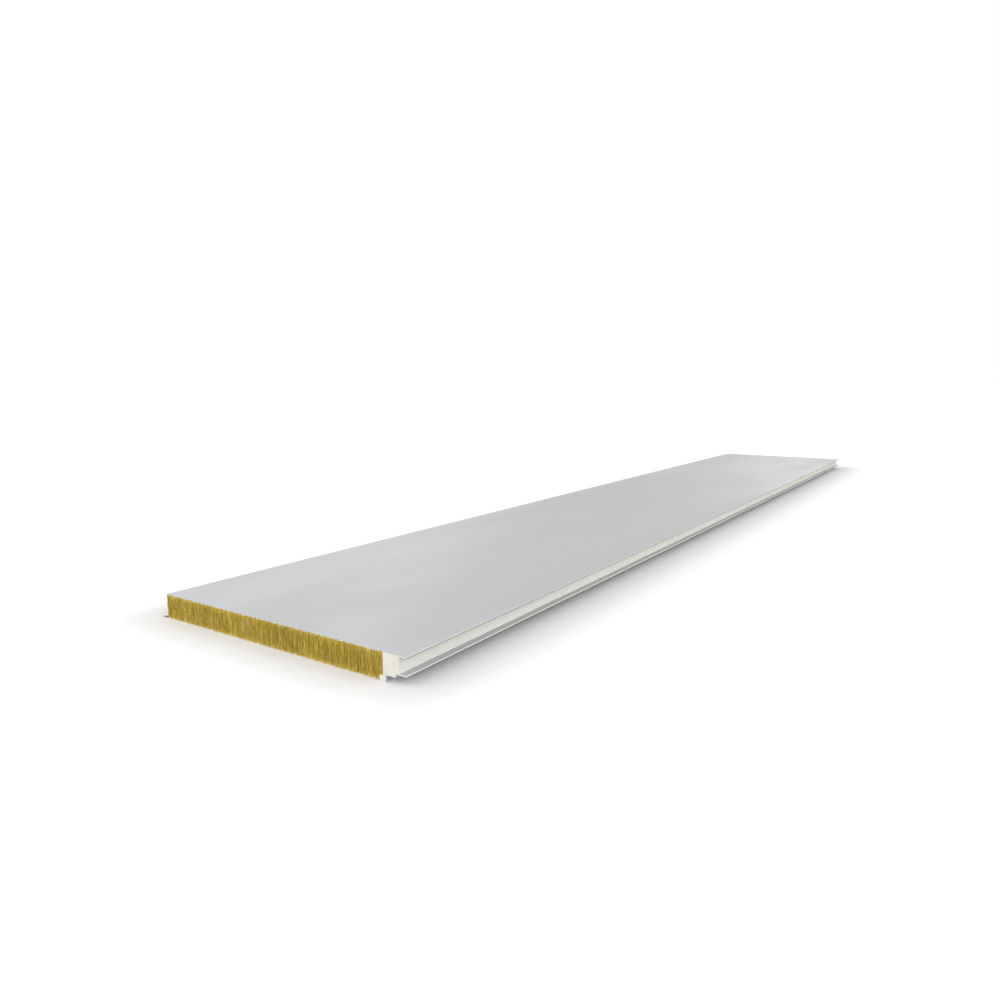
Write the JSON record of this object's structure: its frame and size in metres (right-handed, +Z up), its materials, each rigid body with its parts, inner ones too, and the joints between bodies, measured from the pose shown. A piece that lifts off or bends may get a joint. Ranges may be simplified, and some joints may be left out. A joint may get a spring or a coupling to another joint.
{
  "type": "insulated wall panel",
  "caption": "Flat insulated wall panel: thin steel facings on an upright-fibre mineral-wool core, with a foam edge whose folded lips and stepped rebate join the next panel.",
  "frame": {"origin": "middle of the underside, halfway along the length and halfway between the lip tips", "axes": "+X across the panel towards the tongue lips, +Y along the length, +Z up through the thickness"},
  "size_m": [1.053, 6, 0.08],
  "materials": {
    "facing_steel": "satin light grey coating",
    "edge_foam": "hard polyurethane foam, cream white, matt",
    "mineral_wool": "mineral wool, olive yellow, fibres upright"
  },
  "bodies": {
    "root": {"top_facing": "facing_steel", "bottom_facing": "facing_steel", "foam_edge": "edge_foam", "wool_row_1": "mineral_wool", "wool_row_2": "mineral_wool", "wool_row_3": "mineral_wool", "wool_row_4": "mineral_wool", "wool_row_5": "mineral_wool", "wool_row_6": "mineral_wool", "wool_row_7": "mineral_wool", "wool_row_8": "mineral_wool"}
  },
  "joints": []
}
